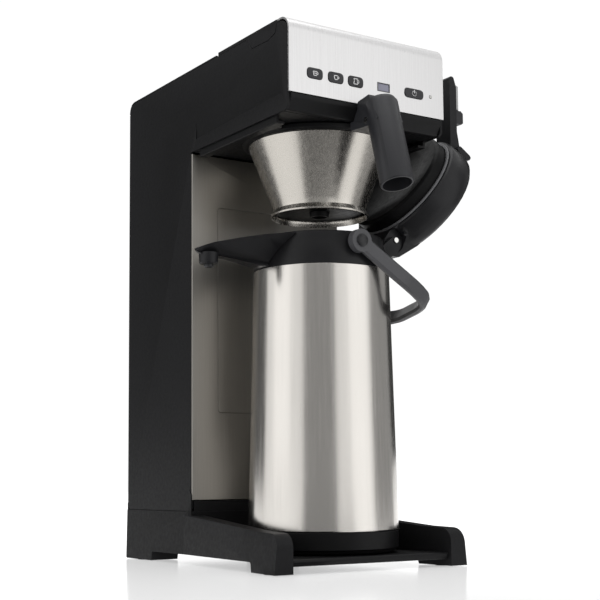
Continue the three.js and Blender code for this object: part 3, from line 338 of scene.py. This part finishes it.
# ------------------------------------------------------------------ carried-over and refined solids
# Width of each solid's rolled edges, in mm.
ROUNDED = {
    "base_frame": 1.2, "side_panel_left": 0.35, "side_panel_right": 0.35, "top_deck": 0.7, "fill_lid": 0.3,
    "front_panel": 0.35, "chin": 0.8, "column_front": 0.3, "service_cover": 0.35, "rear_cover": 0.3,
    "flask_plate": 1.2, "power_inlet": 0.6, "basket_rail_left": 0.5, "basket_rail_right": 0.5,
    "filter_handle": 0.8, "filter_rim": 0.7, "flask_collar": 0.7, "spout": 0.6, "bail_handle": 0.8,
    "lid_shell": 0.8, "pump_lever": 1.0, "lever_trim": 0.5, "lever_latch": 0.8,
    "cup_button_1": 0.4, "cup_button_2": 0.4, "cup_button_3": 0.4, "power_button": 0.4,
    "display_window": 0.2, "spout_nozzle": 0.2, "bail_cap_front": 0.4, "bail_cap_rear": 0.4,
    "lid_hinge_pin": 0.4, "handle_screw": 0.3, "foot_pad_rear_left": 0.5, "foot_pad_rear_right": 0.5,
    "foot_pad_front_left": 0.5, "foot_pad_front_right": 0.5, "lid_plug": 0.6, "lid_seal": 0.4,
}
OTHER_LOOK = {"bail_handle": "bail_plastic", "lid_plug": "plug_plastic"}
for name, size in ROUNDED.items():
    refined(name, size * MM, material=OTHER_LOOK.get(name))
for name in ("flask_shell", "flask_foot"):
    respun(name, middle("flask_shell"))
respun("filter_cone", middle("filter_cone"), 0.2 * MM)
for name in NODES:
    dress(NODES[name], SLOT_OF[name])

# ------------------------------------------------------------------ print on the buttons
ICON_SCALE = 1.3
CUP = [[(-2.0, 1.5), (-1.5, -1.6), (1.1, -1.6), (1.6, 1.5), (-2.0, 1.5)],
       [(1.5, 0.9), (2.5, 0.7), (2.4, -0.5), (1.3, -0.7)]]
SPLIT_CUP = CUP + [[(-1.8, 0.1), (1.4, 0.1)]]
JUG = [[(-2.1, 2.2), (-1.6, 0.6), (-2.4, -2.0), (1.6, -2.0), (1.0, 0.6), (1.5, 2.2), (-2.1, 2.2)],
       [(1.2, 1.4), (2.6, 1.0), (2.6, -0.8), (1.5, -1.2)]]
RING = [[(2 * math.sin(math.radians(a)), 2 * math.cos(math.radians(a))) for a in range(40, 321, 20)],
        [(0, 0.4), (0, 2.6)]]
ICONS = {"cup_button_1": SPLIT_CUP, "cup_button_2": CUP, "cup_button_3": JUG, "power_button": RING}
SUNK = Vector((0, 0.03 * MM, 0))         # the print starts just under the button's face


def front_of(node):
    """Middle of a node's front face."""
    low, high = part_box(node)
    return Vector(((low[0] + high[0]) / 2, low[1], (low[2] + high[2]) / 2))


for node, lines in ICONS.items():
    finish_piece(stroked(f"{node}_icon", lines, front_of(node) + SUNK), BODY_OF[node], "print")


def bezel(name, node, margin, depth, material):
    """A flat frame round a part that shows through the steel front."""
    low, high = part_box(node)
    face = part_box("front_panel")[0][1]

    def loop_of(grow):
        x0, x1, z0, z1 = low[0] - grow, high[0] + grow, low[2] - grow, high[2] + grow
        return [(x0, z0), (x1, z0), (x1, z1), (x0, z1)]

    inner, outer = loop_of(0), loop_of(margin)
    bm = bmesh.new()
    loops = [[bm.verts.new((x, y, z)) for x, z in loop]
             for loop, y in ((inner, face), (outer, face), (outer, face - depth), (inner, face - depth))]
    for a, b in zip(loops, loops[1:] + loops[:1]):
        for k in range(4):
            bm.faces.new((a[k], a[(k + 1) % 4], b[(k + 1) % 4], b[k]))
    piece = round_edges(from_bmesh(name, bm), depth * 0.4)
    return finish_piece(piece, "machine", material)


bezel("display_bezel", "display_window", 0.8 * MM, 0.3 * MM, "bail_plastic")

# ------------------------------------------------------------------ studio
CAMERA_FROM_FLASK = Vector((-0.754537, -1.102218))   # from the flask's axis, in plan
CAMERA_HEIGHT = 0.088866
YAW, PITCH, ROLL = 33.4027, 5.6021, -0.4593
LENS, SENSOR, SHIFT_UP = 76.285, 36, 0.09287


def camera():
    """The camera at the flask's front left, near the table and looking slightly up."""
    data = bpy.data.cameras.new("camera")
    cam = bpy.data.objects.new("camera", data)
    bpy.context.scene.collection.objects.link(cam)
    place = (middle("flask_shell").xy + CAMERA_FROM_FLASK).to_3d()
    place.z = CAMERA_HEIGHT
    yaw, pitch, roll = (math.radians(angle) for angle in (YAW, PITCH, ROLL))
    ahead = Vector((math.sin(yaw) * math.cos(pitch), math.cos(yaw) * math.cos(pitch), math.sin(pitch)))
    right = Vector((math.cos(yaw), -math.sin(yaw), 0))
    up = right.cross(ahead)
    side = right * math.cos(roll) + up * math.sin(roll)
    top = up * math.cos(roll) - right * math.sin(roll)
    cam.matrix_world = Matrix.Translation(place) @ Matrix((side, top, -ahead)).transposed().to_4x4()
    data.sensor_width = SENSOR
    data.lens = LENS
    data.shift_y = SHIFT_UP
    data.clip_start = 0.01
    data.clip_end = 60
    bpy.context.scene.camera = cam
    return ahead, right


UP = Vector((0, 0, 1))
AHEAD, RIGHT = camera()
CENTRE = middle("flask_shell")
BELOW_CENTRE = Vector((CENTRE.x, CENTRE.y, 0))


def around(azimuth, elevation=0):
    """Direction from the flask, azimuth degrees to the right of the camera and elevation degrees up."""
    angle, rise = math.radians(azimuth), math.radians(elevation)
    flat = Vector((AHEAD.x, AHEAD.y, 0)).normalized()
    return (RIGHT * math.sin(angle) - flat * math.cos(angle)) * math.cos(rise) + UP * math.sin(rise)


def stage_sheet(name, corners, material, towards=None):
    """A flat sheet whose front looks at the point towards, if one is given."""
    normal = (corners[1] - corners[0]).cross(corners[2] - corners[0]) if towards else None
    if towards and normal.dot(towards - corners[0]) < 0:
        corners = corners[::-1]
    mesh = bpy.data.meshes.new(name)
    mesh.from_pydata([tuple(c) for c in corners], [], [(0, 1, 2, 3)])
    mesh.materials.append(material)
    sheet = new_object(name, mesh)
    return sheet


FLOOR = 9                        # half the floor's side, in metres


def floor():
    """A pale, slightly glossy floor that is as bright as the backdrop."""
    s = Shader("floor")
    s.surface.inputs["Base Color"].default_value = (0.68, 0.68, 0.68, 1)
    s.surface.inputs["Emission Color"].default_value = (1, 1, 1, 1)
    s.set(emission_strength=0.42, roughness=0.14, specular_ior_level=0.3)
    corners = [(x * FLOOR, y * FLOOR, 0) for x, y in ((-1, -1), (1, -1), (1, 1), (-1, 1))]
    stage_sheet("floor", corners, s.material)


def glow(name, strength):
    """An even glow, seen from the front of a sheet and clear from behind."""
    material = bpy.data.materials.new(name)
    material.use_nodes = True
    nodes = material.node_tree.nodes
    nodes.clear()
    lamp = nodes.new("ShaderNodeEmission")
    lamp.inputs["Strength"].default_value = strength
    mix = nodes.new("ShaderNodeMixShader")
    for source, socket in ((nodes.new("ShaderNodeNewGeometry").outputs["Backfacing"], mix.inputs[0]),
                           (lamp.outputs[0], mix.inputs[1]),
                           (nodes.new("ShaderNodeBsdfTransparent").outputs[0], mix.inputs[2]),
                           (mix.outputs[0], nodes.new("ShaderNodeOutputMaterial").inputs["Surface"])):
        material.node_tree.links.new(source, socket)
    return material


def reflected_only(sheet):
    """Leaves a sheet out of the picture, the shadows and the soft light."""
    sheet.visible_camera = False
    sheet.visible_shadow = False
    sheet.visible_diffuse = False
    return sheet


def card(name, azimuth, distance, width, low, high, strength):
    """A tall sheet round the flask, azimuth degrees to the right of the camera, seen only in reflections."""
    out = around(azimuth) * distance
    across = Vector((-out.y, out.x, 0)).normalized() * width / 2
    at = BELOW_CENTRE + out
    corners = [at - across + UP * low, at + across + UP * low,
               at + across + UP * high, at - across + UP * high]
    return reflected_only(stage_sheet(name, corners, glow(name, strength), CENTRE))


def near_floor(name, low, high, near, far, strength):
    """A fan of floor round the flask, from azimuth low to high, seen only in reflections."""
    points = [BELOW_CENTRE + UP * 0.8 * MM + around(azimuth) * reach
              for azimuth, reach in ((low, near), (low, far), (high, far), (high, near))]
    return reflected_only(stage_sheet(name, points, glow(name, strength), CENTRE))


def area(name, azimuth, elevation, distance, width, height, watts):
    """A softbox that looks at the machine."""
    data = bpy.data.lights.new(name, "AREA")
    data.shape = "RECTANGLE"
    data.size, data.size_y = width, height
    data.energy = watts
    lamp = bpy.data.objects.new(name, data)
    bpy.context.scene.collection.objects.link(lamp)
    out = around(azimuth, elevation)
    lamp.location = CENTRE + UP * 0.1 + out * distance
    lamp.rotation_euler = (-out).to_track_quat("-Z", "Y").to_euler()
    lamp.visible_camera = False
    return lamp


floor()
# azimuth and elevation in degrees, distance, width and height in metres, watts
area("softbox_right", 60, 16, 1.5, 0.95, 1.3, 1.3)
area("softbox_left", -68, 18, 1.6, 0.9, 1.3, 1.2)
area("overhead", 0, 82, 1.5, 1.4, 1.4, 8)
# azimuth in degrees, distance, width, lower and upper edge in metres, brightness
card("camera_side", -5, 1.55, 1.45, 0.0, 1.3, 0.34)
card("right_side", 108, 1.4, 1.3, 0.0, 1.4, 0.34)
card("right_rear", 158, 1.4, 1.3, 0.14, 1.4, 0.04)
card("left_rear", -127, 1.4, 1.35, 0.1, 1.5, 0.1)
near_floor("floor_front", -36, 46, 0.14, 1.7, 0.17)
world = bpy.data.worlds.new("studio")
world.use_nodes = True
world.node_tree.nodes["Background"].inputs["Color"].default_value = (1, 1, 1, 1)
world.node_tree.nodes["Background"].inputs["Strength"].default_value = 1.03
bpy.context.scene.world = world
bpy.context.scene.view_settings.view_transform = "Standard"
